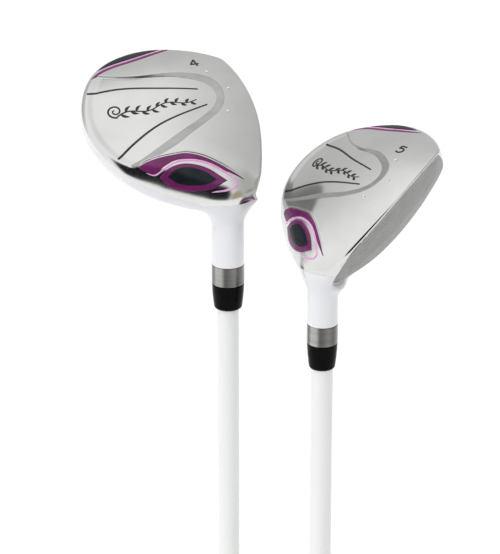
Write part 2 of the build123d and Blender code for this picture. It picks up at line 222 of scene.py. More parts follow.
def outline_radius(club, x, y):
    """Radius of the outline in the direction of (x, y), its slope, and the radius of (x, y)."""
    dx, dy = x - PLAN_CENTRE[0], y - PLAN_CENTRE[1]
    reach = np.hypot(dx, dy) + 1e-9
    turn = (dx + 1j * dy) / reach
    power = np.ones_like(turn)
    radius = np.full(np.shape(x), club.waves[0].real)
    slope = np.zeros(np.shape(x))
    for k in range(1, HARMONICS + 1):
        power = power * turn
        term = club.waves[k] * power
        radius = radius + term.real
        slope = slope - k * term.imag
    return radius, slope, reach


# ---------------------------------------------------------------- the head as a distance field


def smoothstep(low, high, value):
    t = np.clip((value - low) / (high - low), 0, 1)
    return t * t * (3 - 2 * t)


def round_max(a, b, r):
    """Overlap of two solids, its edge rounded to radius r."""
    return np.minimum(-r, np.maximum(a, b)) + np.hypot(np.maximum(a + r, 0), np.maximum(b + r, 0))


def round_min(a, b, r):
    """Union of two solids, its corner filled to radius r."""
    return np.maximum(r, np.minimum(a, b)) - np.hypot(np.maximum(r - a, 0), np.maximum(r - b, 0))


def plan_distance(club, x, y):
    """Distance outside the plan outline, negative inside."""
    radius, slope, reach = outline_radius(club, x, y)
    return (reach - radius) / np.sqrt(1 + (slope / radius) ** 2)


def sole_distance(x, y, z):
    q = np.hypot(y - SOLE_CENTRE[1], z - SOLE_ROLL[1])
    return np.hypot(x - SOLE_CENTRE[0], q - (SOLE_ROLL[1] - SOLE_ROLL[0])) - SOLE_ROLL[0]


def crown_distance(x, y, z):
    q = np.hypot(y - CROWN_CENTRE[1], z - (CROWN_TOP - CROWN_ROLL[1]))
    return np.hypot(x - CROWN_CENTRE[0], q - (CROWN_ROLL[1] - CROWN_ROLL[0])) - CROWN_ROLL[0]


def face_centre(club):
    """Centre of the ball that the face is part of."""
    mid_y = club.front + FACE_PROUD - (FACE_MID_Z - LEADING_EDGE_Z) * math.tan(club.loft)
    return np.array(
        (
            SOLE_CENTRE[0],
            mid_y - FACE_RADIUS * math.cos(club.loft),
            FACE_MID_Z - FACE_RADIUS * math.sin(club.loft),
        )
    )


def face_distance(club, x, y, z):
    c = face_centre(club)
    return np.sqrt((x - c[0]) ** 2 + (y - c[1]) ** 2 + (z - c[2]) ** 2) - FACE_RADIUS


def heel_share(club, x, y):
    """1 along the heel and the back of the heel, 0 at the toe and the back."""
    front = smoothstep(19.0, 5.0, y)
    return smoothstep(22.0, -6.0, x) * smoothstep(-52.0, -30.0, y / club.reach) * front


def sole_round(club, x, y):
    """Radius of the edge between sole and skirt."""
    return 2.0 + 8.5 * heel_share(club, x, y)


def lead_round(x):
    """Radius of the leading edge, which opens out towards the heel."""
    return 0.9 + 1.4 * smoothstep(20.0, -10.0, x)


def neck_distance(club, x, y, z):
    """Distance outside the neck, a round bar along the shaft's axis."""
    along = -math.cos(LIE) * x + math.sin(LIE) * z
    off = np.sqrt(np.maximum(x * x + y * y + z * z - along**2, 0))
    below = np.minimum(along - NECK_FOOT, 0)
    bar = np.hypot(off, below) - club.hosel_radius
    return bar, along


def hull_distance(club, x, y, z, sole_sink=0.0):
    """Distance outside the head as it would be if its face were not cut."""
    bar, _ = neck_distance(club, x, y, z)
    body = round_max(plan_distance(club, x, y), sole_distance(x, y, z) + sole_sink, sole_round(club, x, y))
    body = round_max(body, crown_distance(x, y, z), CROWN_EDGE)
    return round_min(body, bar, NECK_BLEND)


def head_distance(club, x, y, z, seats=False):
    """Distance outside the head. With seats, it is sunk where the sole and face plates go."""
    face = face_distance(club, x, y, z)
    sink = 0.0
    if seats:
        plan = plan_distance(club, x, y)
        edge = sole_round(club, x, y)
        sink = SEAT_DEPTH * smoothstep(-0.3 - 0.3 * edge, -2.0 - 0.8 * edge, plan)
        sink = sink * smoothstep(-1.5, -4.0, face - lead_round(x))
    hull = hull_distance(club, x, y, z, sink)
    _, along = neck_distance(club, x, y, z)
    relief = 60.0 * smoothstep(club.face_end, club.face_end + 24.0, along)
    if seats:
        face = face + 0.6 * smoothstep(-2.0, -3.5, hull)
    return np.maximum(round_max(hull, face - relief, lead_round(x)), along - club.hosel_length)


def gradient(field, points):
    """Slope of a field at points, by central differences."""
    h = 0.02
    out = np.empty_like(points)
    for k in range(3):
        step = np.zeros(3)
        step[k] = h
        out[:, k] = (field(*(points + step).T) - field(*(points - step).T)) / (2 * h)
    return out


def surface_net(field, low, high, cell):
    """Quads over the zero surface of a field, one vertex to each cell that it crosses."""
    axes = [np.arange(a, b + cell, cell) for a, b in zip(low, high)]
    grid = np.meshgrid(*axes, indexing="ij")
    value = field(*grid)
    inside = value < 0
    shape = tuple(n - 1 for n in value.shape)
    total = np.zeros(shape + (3,))
    count = np.zeros(shape)
    for axis in range(3):
        others = [k for k in range(3) if k != axis]
        for u in (0, 1):
            for v in (0, 1):
                cut = [slice(None)] * 3
                cut[others[0]] = slice(u, shape[others[0]] + u)
                cut[others[1]] = slice(v, shape[others[1]] + v)
                start, end = list(cut), list(cut)
                start[axis] = slice(0, shape[axis])
                end[axis] = slice(1, shape[axis] + 1)
                a, b = value[tuple(start)], value[tuple(end)]
                crossing = (a < 0) != (b < 0)
                share = np.where(crossing, a / np.where(crossing, a - b, 1), 0)
                offset = np.zeros(shape + (3,))
                offset[..., axis] = share
                offset[..., others[0]] = u
                offset[..., others[1]] = v
                total += offset * crossing[..., None]
                count += crossing
    active = count > 0
    index = np.full(shape, -1)
    index[active] = np.arange(active.sum())
    cells = np.argwhere(active)
    points = np.array(low) + cell * (cells + total[active] / count[active][:, None])
    quads = []
    for axis in range(3):
        b, c = (axis + 1) % 3, (axis + 2) % 3
        cut = [slice(1, n) for n in shape]
        cut[axis] = slice(0, shape[axis])
        start, end = list(cut), list(cut)
        end[axis] = slice(1, shape[axis] + 1)
        here, there = inside[tuple(start)], inside[tuple(end)]
        for flip in (False, True):
            found = np.argwhere(here & ~there if not flip else there & ~here)
            found = found + np.array([0 if k == axis else 1 for k in range(3)])
            steps = [(0, 0), (-1, 0), (-1, -1), (0, -1)]
            if flip:
                steps.reverse()
            corners = []
            for db, dc in steps:
                shift = np.zeros(3, int)
                shift[b] = db
                shift[c] = dc
                corners.append(index[tuple((found + shift).T)])
            quads.append(np.stack(corners, axis=1))
    return points, np.concatenate(quads)


def settle(field, points, rounds=6):
    """Moves points onto the zero surface of a field."""
    for _ in range(rounds):
        slope = gradient(field, points)
        size = np.maximum((slope**2).sum(axis=1), 0.05)
        move = np.clip(field(*points.T) / size, -0.5, 0.5)
        points = points - slope * move[:, None]
    return points


# ---------------------------------------------------------------- meshes and pieces


def make_piece(name, club, points, faces, material, replaces=(), head=True, sharp=None, smooth=True):
    """A mesh object from points in millimetres, in its club's head or shaft frame.

    Shading breaks at edges sharper than `sharp` degrees.
    """
    points = np.asarray(points, float) * MM
    if head:
        points = points @ club.head_turn.T + np.array(club.head_matrix.translation)
    mesh = bpy.data.meshes.new(name)
    mesh.from_pydata(points.tolist(), [], [list(map(int, f)) for f in faces])
    mesh.validate()
    mesh.update()
    if smooth:
        mesh.polygons.foreach_set("use_smooth", [True] * len(mesh.polygons))
    if sharp:
        mesh.set_sharp_from_angle(angle=math.radians(sharp))
    mesh.materials.append(material)
    piece = bpy.data.objects.new(name, mesh)
    bpy.context.scene.collection.objects.link(piece)
    if not head:
        piece.matrix_world = club.shaft_matrix
    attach(piece, club.body)
    if replaces:
        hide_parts(*replaces)
    return piece


def grid_faces(rows, columns, wrap=False, start=0):
    """Quads of a grid whose points run column by column along each row."""
    last = columns if wrap else columns - 1
    r, c = np.meshgrid(np.arange(rows - 1), np.arange(last), indexing="ij")
    a = start + r * columns + c
    b = start + r * columns + (c + 1) % columns
    return np.stack((a, b, b + columns, a + columns), axis=-1).reshape(-1, 4)


def ring_faces(rings, sides):
    """Quads of a tube of rings whose last ring joins the first."""
    return grid_faces(rings + 1, sides, wrap=True) % (rings * sides)


def border_faces(rows, columns):
    """Quads that join the edges of two stacked grids into one closed solid."""
    loop = list(range(columns))
    loop += [r * columns + columns - 1 for r in range(1, rows)]
    loop += [(rows - 1) * columns + k for k in range(columns - 2, -1, -1)]
    loop += [r * columns for r in range(rows - 2, 0, -1)]
    loop = np.array(loop)
    after = np.roll(loop, -1)
    below = rows * columns
    return np.stack((after, loop, loop + below, after + below), axis=1)


def outward(points, faces):
    """Turns a closed mesh's quads outwards, by the sign of its volume."""
    points, faces = np.asarray(points), np.asarray(faces)
    a, b, c, d = (points[faces[:, k]] for k in range(4))
    volume = np.einsum("ij,ij->i", a, np.cross(b, c) + np.cross(c, d)).sum()
    return faces if volume > 0 else faces[:, ::-1]


def slab(top, low):
    """Points and faces of a closed solid between two matching grids of points."""
    rows, columns = top.shape[:2]
    points = np.concatenate((top.reshape(-1, 3), low.reshape(-1, 3)))
    below = grid_faces(rows, columns, start=rows * columns)[:, ::-1]
    faces = np.concatenate((grid_faces(rows, columns), below, border_faces(rows, columns)))
    return points, outward(points, faces)


def turned(name, club, profile, material, sides, replaces, sharp):
    """A solid of revolution about the shaft from a closed (radius, height) outline."""
    profile = np.array(profile, float)
    angle = np.linspace(0, 2 * math.pi, sides, endpoint=False)
    radius = profile[:, :1]
    points = np.stack(
        (radius * np.cos(angle), radius * np.sin(angle), np.repeat(profile[:, 1:], sides, axis=1)),
        axis=-1,
    ).reshape(-1, 3)
    faces = outward(points, ring_faces(len(profile), sides))
    make_piece(name, club, points, faces, material, replaces, head=False, sharp=sharp)


def arc(centre, radius, start, end, count):
    """Points on an arc in a turned profile, angles in degrees."""
    angles = np.radians(np.linspace(start, end, count))
    return [(centre[0] + radius * math.cos(a), centre[1] + radius * math.sin(a)) for a in angles]


# ---------------------------------------------------------------- the sole


# The points of the marks on the sole, here and further on, were read off the photo by eye and cast onto
# the head by a scratch script, so they aren't free of its output
# The arrow field: where its bevel starts, and where its level floor starts
RECESS_OUTER = (
    (66, -54), (62, -43), (58.6, -37.2), (53.2, -30), (49.9, -23), (48.0, -13), (45.9, -4), (42.5, 3.8),
    (38.3, 8.4), (32.4, 10), (25.7, 8.5), (20.7, 4.6), (16.3, -2.6), (12.2, -11.2), (8.9, -18), (6.6, -25),
    (4.9, -33), (3.4, -42), (1.5, -56),
)
RECESS_INNER = (
    (65.2, -54), (61.3, -43), (57.9, -37.2), (52.5, -30), (49.1, -23), (47.0, -15.5), (44.6, -7.5),
    (41.4, -1.0),
    (38.0, 3.9), (33.2, 6.3), (27.8, 5.7), (23.8, 2.8), (19.7, -3.7), (15.7, -13), (12.3, -20.8),
    (9.6, -27.4),
    (7.2, -34.2), (5.0, -43), (3, -56),
)


def loop_distance(loop, x, y):
    """Distance outside a closed loop, negative inside."""
    ends = np.roll(loop, -1, axis=0)
    best = np.full(np.shape(x), 1e9)
    inside = np.zeros(np.shape(x), bool)
    for (ax, ay), (bx, by) in zip(loop, ends):
        ex, ey = bx - ax, by - ay
        t = np.clip(((x - ax) * ex + (y - ay) * ey) / (ex * ex + ey * ey + 1e-12), 0, 1)
        best = np.minimum(best, (x - ax - t * ex) ** 2 + (y - ay - t * ey) ** 2)
        crosses = (ay > y) != (by > y)
        at = ax + (y - ay) * ex / (ey if abs(ey) > 1e-9 else 1e-9)
        inside ^= crosses & (x < at)
    return np.where(inside, -1, 1) * np.sqrt(best)


def recess_depth(club, x, y):
    """How far the arrow-shaped field is sunk: level inside, with a flat bevel round it."""
    outer = open_spline(club.field(RECESS_OUTER), 110)
    inner = open_spline(club.field(RECESS_INNER), 110)
    within = np.maximum(-loop_distance(outer, x, y), 0)
    beyond = np.maximum(loop_distance(inner, x, y), 0)
    share = within / np.maximum(within + beyond, 1e-6)
    edge = sole_round(club, x, y)
    return RECESS_DEPTH * share * smoothstep(-0.4 - 0.3 * edge, -4.5 - 0.6 * edge, plan_distance(club, x, y))


def sole_height(club, x, y):
    """Height of the polished surface under a plan point, without the recess."""
    low = np.full(np.shape(x), -3.0)
    high = np.full(np.shape(x), 19.0)
    for _ in range(26):
        middle = (low + high) / 2
        outside = head_distance(club, x, y, middle) > 0
        low = np.where(outside, middle, low)
        high = np.where(outside, high, middle)
    return high


def plate_height(club, x, y):
    """Height of the sole plate's outer surface, with its recess."""
    return sole_height(club, x, y) + recess_depth(club, x, y) - PLATE_PROUD


def ray_point(club, turn, tilt):
    """Where rays from inside the head meet its surface: turn in plan, tilt up from straight down."""
    way = np.stack((np.cos(turn) * np.sin(tilt), np.sin(turn) * np.sin(tilt), -np.cos(tilt)), axis=-1)
    eye = np.array((*PLAN_CENTRE, PLATE_EYE_Z))
    low, high = np.zeros(way.shape[:-1]), np.full(way.shape[:-1], 75.0)
    for _ in range(24):
        middle = (low + high) / 2
        inside = head_distance(club, *np.moveaxis(eye + middle[..., None] * way, -1, 0)) < 0
        low = np.where(inside, middle, low)
        high = np.where(inside, high, middle)
    return eye + low[..., None] * way, way


def plate_margin(club, x, y, z):
    """Above 0 where a surface point is past the sole plate's edge."""
    beside_neck = smoothstep(-10.0, -18.0, x) * smoothstep(-16.0, -6.0, y)
    reach = 0.35 + 0.32 * sole_round(club, x, y) + 25.0 * beside_neck
    skirt = -sole_distance(x, y, z) - reach
    front = face_distance(club, x, y, z) + 0.05 * lead_round(x)
    _, along = neck_distance(club, x, y, z)
    return round_max(round_max(skirt, along - club.plate_end, 3.0), front, 0.5)


def plate_edge(club, turn):
    """Tilt of the ray to the sole plate's edge at each turn."""
    low, high = np.full(turn.shape, 0.3), np.full(turn.shape, 2.2)
    for _ in range(26):
        tilt = (low + high) / 2
        points, _ = ray_point(club, turn, tilt)
        out = plate_margin(club, *points.T) > 0
        high = np.where(out, tilt, high)
        low = np.where(out, low, tilt)
    return low


def even_tilts(club, turn, edge, rings):
    """Ray tilts that step evenly over the surface from the middle out to the plate's edge."""
    rough = np.sin(np.linspace(0, math.pi / 2, 90))[:, None] * edge[None]
    points, _ = ray_point(club, np.broadcast_to(turn, rough.shape), rough)
    run = np.linalg.norm(np.diff(points, axis=0), axis=-1).cumsum(axis=0)
    run = np.concatenate((np.zeros((1, len(turn))), run))
    share = np.linspace(0, 1, rings + 2)[1:]
    return np.stack([np.interp(share * run[-1, k], run[:, k], rough[:, k]) for k in range(len(turn))], axis=1)


def sole_plate(club, material):
    """The polished plate over the sole, with its sunk arrow field."""
    count, rings = 720, 170
    turn = np.linspace(0, 2 * math.pi, count, endpoint=False)
    edge = plate_edge(club, turn)
    flat, _ = ray_point(club, turn, edge)
    tilt = even_tilts(club, turn, edge, rings)
    points, way = ray_point(club, np.broadcast_to(turn, tilt.shape), tilt)
    points = points + PLATE_PROUD * way
    points[..., 2] += recess_depth(club, points[..., 0], points[..., 1])
    top = points.reshape(-1, 3)
    rim = flat - 1.0 * way[-1]
    middle = np.array([PLAN_CENTRE[0]]), np.array([PLAN_CENTRE[1]])
    centre = (*PLAN_CENTRE, float(plate_height(club, *middle)[0]))
    below = (*PLAN_CENTRE, centre[2] + 5.0)
    points = np.concatenate((top, rim, [centre], [below]))
    faces = [tuple(f[::-1]) for f in grid_faces(rings + 1, count, wrap=True)]
    hub, base = len(points) - 2, len(points) - 1
    for k in range(count):
        after = (k + 1) % count
        faces.append((hub, after, k))
        faces.append((base, rings * count + k, rings * count + after))
    make_piece(
        f"{club.name}_sole_plate_polished", club, points, faces, material,
        (f"{club.name}_sole_plate",), sharp=50,
    )


def square_end(club, points, normals):
    """Makes the hosel's end flat and its rim a true circle."""
    axis = np.array((-math.cos(LIE), 0, math.sin(LIE)))
    along = points @ axis
    off = points - along[:, None] * axis
    radius = np.linalg.norm(off, axis=1)
    end = along > club.hosel_length - 0.6
    rim = end & (radius > club.hosel_radius - 0.7)
    off[rim] *= (club.hosel_radius / radius[rim])[:, None]
    along = np.where(end, club.hosel_length, along)
    normals = np.where(rim[:, None], off, normals)
    return along[:, None] * axis + off, normals


def crown_shell(club, material):
    """The white body: crown, skirt and neck in one flowing surface."""

    def field(x, y, z):
        return head_distance(club, x, y, z, seats=True)

    low = (-38.0, club.rear - 3.0, -1.5)
    high = (72.0, 27.0, 53.0)
    points, quads = surface_net(field, low, high, NET_CELL)
    points = settle(field, points)
    normals = gradient(field, points)
    points, normals = square_end(club, points, normals)
    normals /= np.linalg.norm(normals, axis=1)[:, None] + 1e-9
    piece = make_piece(
        f"{club.name}_crown_shell", club, points, quads, material,
        (f"{club.name}_crown_body",),
    )
    piece.data.normals_split_custom_set_from_vertices((normals @ club.head_turn.T).tolist())


WEIGHT_REACH = 14.0
WEIGHT_HEIGHT = 5.0
WEIGHT_GAP = 2.4


def back_weight(club, material):
    """The cast pad inside the back of the head, kept clear of the shell and the plate."""

    def field(x, y, z):
        inside = hull_distance(club, x, y, z) + WEIGHT_GAP
        above = -sole_distance(x, y, z) - WEIGHT_GAP - WEIGHT_HEIGHT
        return round_max(round_max(inside, y - club.rear - WEIGHT_REACH, 0.6), above, 0.6)

    low = (-8.0, club.rear - 2.0, 0.0)
    high = (66.0, club.rear + WEIGHT_REACH + 2.0, 26.0)
    points, quads = surface_net(field, low, high, 0.8)
    points = settle(field, points)
    make_piece(
        f"{club.name}_back_weight_cast", club, points, outward(points, quads), material,
        (f"{club.name}_back_weight",),
    )


# ---------------------------------------------------------------- the face


GROOVE_PITCH = 3.0
GROOVE_WIDTH = 0.8
GROOVE_DEPTH = 0.2
GROOVE_COUNT = 8
GROOVE_MARGIN = 8.0


def face_frame(club):
    """The face's middle, and unit vectors up it and out of it."""
    middle = face_centre(club) + FACE_RADIUS * np.array((0, math.cos(club.loft), math.sin(club.loft)))
    up = np.array((0, -math.sin(club.loft), math.cos(club.loft)))
    out = np.array((0, math.cos(club.loft), math.sin(club.loft)))
    return middle, up, out


def face_point(club, x, t):
    """Point of the face ball over face coordinates: x to the toe, t up the face."""
    middle, up, out = face_frame(club)
    across = x - middle[0]
    sink = FACE_RADIUS - np.sqrt(FACE_RADIUS**2 - across**2 - t**2)
    point = middle + np.multiply.outer(t, up) - np.multiply.outer(sink, out)
    point[..., 0] += across
    return point


def face_margin(club, x, t):
    """Above 0 where a face coordinate is past the face plate's edge."""
    px, py, pz = np.moveaxis(face_point(club, x, t), -1, 0)
    _, along = neck_distance(club, px, py, pz)
    edge = hull_distance(club, px, py, pz) + 0.5 + 0.5 * lead_round(px)
    return round_max(edge, along - club.face_end - 1.5, 5.0)


def face_plate(club, material):
    """The brushed hitting face with its score lines."""
    columns, rows = 240, 150
    x = np.linspace(-34.0, 76.0, 1101)
    rungs = np.linspace(-20.0, 26.0, 93)
    margin = face_margin(club, *np.meshgrid(x, rungs))
    spine = rungs[margin.argmin(axis=0)]
    held = np.flatnonzero(margin.min(axis=0) < 0)
    ends = x[held[0]], x[held[-1]]
    turn = np.linspace(0.02, math.pi - 0.02, columns)
    columns_x = (ends[0] + ends[1]) / 2 - np.cos(turn) * (ends[1] - ends[0]) / 2
    spine = np.interp(columns_x, x, np.convolve(np.pad(spine, 20, "edge"), np.ones(41) / 41, "valid"))
    x = columns_x
    limits = []
    for side in (-1, 1):
        near, far = spine.copy(), spine + side * 30.0
        for _ in range(30):
            t = (near + far) / 2
            out = face_margin(club, x, t) > 0
            far = np.where(out, t, far)
            near = np.where(out, near, t)
        limits.append(near)
    share = np.linspace(0, 1, rows)[:, None]
    t = limits[0] * (1 - share) + limits[1] * share
    xs = np.repeat(x[None], rows, axis=0)
    row = t / GROOVE_PITCH
    nearest = np.floor(row) + 0.5
    off = np.abs(row - nearest) * GROOVE_PITCH
    cut = smoothstep(GROOVE_WIDTH / 2, GROOVE_WIDTH / 4, off) * (np.abs(nearest) < GROOVE_COUNT / 2)
    edge_off = np.minimum(t - limits[0], limits[1] - t)
    end_off = np.minimum(xs - ends[0], ends[1] - xs)
    cut = cut * smoothstep(2.2, 3.0, edge_off) * smoothstep(GROOVE_MARGIN, GROOVE_MARGIN + 0.6, end_off)
    _, _, out = face_frame(club)
    lift = 0.10 - GROOVE_DEPTH * cut - 0.25 * smoothstep(0.5, 0.0, edge_off)
    front = face_point(club, xs, t) + lift[..., None] * out
    back = face_point(club, xs, t) - 1.4 * out
    points, faces = slab(front, back)
    make_piece(
        f"{club.name}_face_brushed", club, points, faces, material,
        (f"{club.name}_face_plate",), sharp=40,
    )


# ---------------------------------------------------------------- marks on the sole


def ribbon(path, width, count=90):
    """The two sides of a ribbon along a path, drawn to a point at each end."""
    path = open_spline(path, count)
    ahead = np.gradient(path, axis=0)
    ahead /= np.linalg.norm(ahead, axis=1)[:, None] + 1e-9
    swell = np.sin(np.linspace(0.02, math.pi - 0.02, count))[:, None] ** 0.4
    side = np.stack((-ahead[:, 1], ahead[:, 0]), axis=1) * swell * width / 2
    return path + side, path - side


def hold_inside(club, x, y):
    """Draws plan points in from the outline to where the sole's edge is not yet steep."""
    radius, slope, reach = outline_radius(club, x, y)
    margin = (0.3 + 0.1 * sole_round(club, x, y)) * np.sqrt(1 + (slope / radius) ** 2)
    share = np.minimum(1, (radius - margin) / reach)
    return PLAN_CENTRE[0] + (x - PLAN_CENTRE[0]) * share, PLAN_CENTRE[1] + (y - PLAN_CENTRE[1]) * share


def trim_outside(club, a, b):
    """Cuts the ends of a strip between two plan curves where both lie past the sole's edge."""
    inside = np.zeros(len(a), bool)
    for side in (a, b):
        held = np.column_stack(hold_inside(club, side[:, 0], side[:, 1]))
        inside |= np.linalg.norm(held - side, axis=1) < 0.3
    kept = np.flatnonzero(inside)
    span = slice(kept[0], kept[-1] + 1)
    return a[span], b[span]


def inlay(name, club, side_a, side_b, material, slot, replaces=(), rise=0.14, across=9, along=90, shape=None):
    """A thin domed fill between two plan curves, lying on the sole or on another shape."""
    fit = club.field if shape else club.mark
    shape = shape or sole_height
    a = open_spline(fit(side_a), along)
    b = open_spline(fit(side_b), along)
    a, b = trim_outside(club, a, b)
    along = len(a)
    share = (1 - np.cos(np.linspace(0, math.pi, across))) / 2
    plan = a[None] * (1 - share[:, None, None]) + b[None] * share[:, None, None]
    width = np.linalg.norm(a - b, axis=1)[None]
    off = np.minimum(share, 1 - share)[:, None] * width
    ends = np.minimum(np.arange(along), np.arange(along)[::-1])[None] / 4.0
    dome = smoothstep(0, 0.45, np.minimum(off, ends))
    x, y = hold_inside(club, plan[..., 0], plan[..., 1])
    z = shape(club, x, y)
    top = np.stack((x, y, z - PLATE_PROUD + 0.02 - rise * dome), axis=-1)
    low = np.stack((x, y, z + 0.5), axis=-1)
    points, faces = slab(top, low)
    make_piece(name, club, points, faces, material, replaces)


STROKE_RISE = 0.07


def stroke(club, path, widths):
    """Points and faces of a thin painted stroke along a plan path."""
    path = np.asarray(path, float)
    ahead = np.gradient(path, axis=0)
    ahead /= np.linalg.norm(ahead, axis=1)[:, None] + 1e-9
    side = np.stack((-ahead[:, 1], ahead[:, 0]), axis=1) * (np.asarray(widths)[:, None] / 2)
    left, right = path + side, path - side
    rows = []
    for plan, lift in ((left, -0.25), (left, STROKE_RISE), (right, STROKE_RISE), (right, -0.25)):
        x, y = hold_inside(club, plan[:, 0], plan[:, 1])
        rows.append(np.column_stack((x, y, plate_height(club, x, y) - lift)))
    count = len(path)
    points = np.stack(rows, axis=1).reshape(-1, 3)
    faces = grid_faces(count, 4, wrap=True)
    caps = [(0, 1, 2, 3), tuple((count - 1) * 4 + k for k in (3, 2, 1, 0))]
    faces = np.concatenate((faces, np.array(caps)))
    return points, outward(points, faces)


def strokes(name, club, lines, material, replaces=()):
    """Several painted strokes as one piece; each line is a path and its widths."""
    points, faces = [], []
    start = 0
    for path, widths in lines:
        line_points, line_faces = stroke(club, path, widths)
        points.append(line_points)
        faces.append(line_faces + start)
        start += len(line_points)
    points, faces = np.concatenate(points), np.concatenate(faces)
    make_piece(name, club, points, faces, material, replaces, smooth=False)


SOLE_LINES = (
    ((48, -44.5), (45.4, -32), (39.6, -16), (34.7, -0.2)),
    ((10, -43.9), (14.7, -35.6), (20.3, -22.5), (25.4, 0.6)),
)
NUMERAL_PLACE = (51.0, 4.6)
NUMERALS = {
    4: (((2.4, 0.6), (-0.8, -1.9), (-0.8, 1.8)), ((2.4, 0.6), (-2.4, 0.6))),
    5: (
        ((2.4, 1.6), (2.4, -1.1)),
        ((2.4, -1.1), (0.5, -1.3)),
        ((0.5, -1.3), (0.9, 0.2), (0.2, 1.5), (-1.3, 1.5), (-2.3, 0.1), (-1.9, -1.6)),
    ),
}


def sole_lines(club, material):
    """The two thin engraved lines that follow the arms of the arrow."""
    lines = []
    for points in SOLE_LINES:
        path = open_spline(club.field(points), 120)
        lines.append((path, np.linspace(1.0, 0.65, 120)))
    strokes(f"{club.name}_line_paint", club, lines, material, (f"{club.name}_sole_lines",))


def numeral(club, material):
    """The club's number."""
    centre = club.mark([NUMERAL_PLACE])[0]
    lines = []
    for points in NUMERALS[club.numeral]:
        path = open_spline(points, 40) if len(points) > 3 else straight(points, 40)
        lines.append((centre + path * club.size, np.full(40, 0.75)))
    strokes(f"{club.name}_numeral_paint", club, lines, material, (f"{club.name}_sole_numeral",))


def straight(points, count):
    """Evenly stepped points along straight runs, corners kept."""
    points = np.array(points, float)
    run = np.concatenate(([0], np.cumsum(np.linalg.norm(np.diff(points, axis=0), axis=1))))
    steps = np.unique(np.concatenate((np.linspace(0, run[-1], count - len(run) + 2), run)))
    steps = np.concatenate((steps[:count], np.full(max(count - len(steps), 0), run[-1])))
    return np.stack([np.interp(steps, run, points[:, k]) for k in range(2)], axis=1)


def flourish(club, material):
    """A plain leafy branch between the two lines, with one curl at its foot."""
    lines = []

    def stem(t):
        sway = 1.3 * np.sin(2.0 * 2 * math.pi * t) * (1 - 0.3 * t)
        return np.stack((30.2 - 1.2 * t + sway, -37.5 + 34.5 * t), axis=-1)

    t = np.linspace(0, 1, 240)
    lines.append((club.field(stem(t)), 0.65 - 0.25 * t))
    turn = np.linspace(0, 1.45 * 2 * math.pi, 110)
    shrink = 3.1 * (1 - turn / turn[-1]) ** 0.8 + 0.5
    curl = np.stack((33.4 - shrink * np.cos(turn), -37.5 - shrink * np.sin(turn) * 0.9), axis=1)
    lines.append((club.field(curl), 0.8 - 0.2 * np.linspace(0, 1, 110)))
    blade = np.linspace(0, 1, 26)
    for k in range(15):
        at = 0.05 + 0.062 * k
        side = 1 if k % 2 else -1
        size = 3.7 - 0.09 * k
        curve = 0.10 * np.sin(math.pi * blade)
        leaf = np.stack((side * size * (0.72 * blade + curve), size * (0.80 * blade - curve)), axis=1)
        lines.append((club.field(stem(np.array(at)) + leaf), 0.12 + 1.15 * np.sin(math.pi * blade**0.8)))
    strokes(f"{club.name}_branch_paint", club, lines, material)


def bright_dots(club, material):
    """Three tiny polished beads outside the arrow's point."""
    points, faces = [], []
    start = 0
    for x, y in club.mark(((43.8, 7.6), (32.1, 13.0), (19.8, 8.0))):
        z = float(sole_height(club, np.array([x]), np.array([y]))[0])
        rings = [(0.8 * math.cos(a), 0.1 + 0.4 * math.sin(a)) for a in np.radians((-30, 0, 25, 50, 72))]
        angles = np.linspace(0, 2 * math.pi, 20, endpoint=False)
        for radius, lift in rings:
            for a in angles:
                points.append((x + radius * math.cos(a), y + radius * math.sin(a), z - lift))
        points.append((x, y, z - 0.52))
        points.append((x, y, z + 0.4))
        faces += [tuple(f) for f in grid_faces(len(rings), 20, wrap=True, start=start)]
        top, low = start + len(rings) * 20, start + len(rings) * 20 + 1
        for k in range(20):
            after = (k + 1) % 20
            faces.append((start + (len(rings) - 1) * 20 + k, start + (len(rings) - 1) * 20 + after, top))
            faces.append((start + after, start + k, low))
        start += len(rings) * 20 + 2
    make_piece(f"{club.name}_bright_dots", club, points, [f[::-1] for f in faces], material)


# Leaves at heel and toe, each as its two sides
HEEL_BAND = (
    ((3.6, -36.8), (4.3, -35.2), (4.9, -30.2), (4.6, -22), (3.9, -16.4), (1.1, -10.2), (-4.1, -2.9),
    (-11.4, 5.2)),
    ((2.8, -36.6), (0.5, -33.7), (-0.8, -31), (0.5, -27.4), (1.9, -22.4), (1.4, -17), (-0.8, -10.7),
    (-5.8, -3.5), (-11.4, 4.6)),
)
HEEL_LINE = (
    (0.9, -34.8), (-1.2, -31.2), (-0.3, -27.2), (1.2, -22.2), (0.8, -16.6), (-1.4, -10.2),
    (-5.0, -4.8), (-9.4, -0.4),
    (-12.2, 1.6), (-13.8, 0.9), (-14.6, -3.6), (-13.5, -10.0),
)
HEEL_RING = (
    ((-2.6, -29.8), (-0.5, -25.4), (0.0, -20), (-1.4, -14.6), (-5.0, -8.2), (-11.0, -2.4)),
    ((-2.6, -29.8), (-7.2, -25.9), (-10.2, -20.5), (-11.9, -14.5), (-12.4, -8.0), (-11.0, -2.4)),
)
HEEL_EYE = (
    ((-3.5, -27), (-1.8, -23.4), (-1.5, -19), (-2.9, -14.6), (-5.8, -10.0), (-9.6, -6.4)),
    ((-3.5, -27), (-6.7, -23.6), (-8.9, -19.6), (-10.3, -14.6), (-10.6, -10.2), (-9.6, -6.4)),
)
HEEL_RIM = (
    (3.2, -37.6), (5.0, -35.2), (5.6, -30.0), (5.3, -22), (4.6, -16.2), (1.7, -9.6), (-3.6, -2.3),
    (-11.2, 6.2),
)
TOE_BAND = (
    ((56.4, -39.4), (58.9, -32.4), (59.9, -26.4), (60.3, -21), (61.2, -14.9), (62.7, -8.3),
    (64.3, -2.4), (66.4, 2.6)),
    ((56.6, -39.6), (59.9, -34.4), (61.3, -28.4), (61.8, -23.5), (62.4, -18), (63.4, -12.5),
    (64.7, -6.6), (66.6, 2.4)),
)
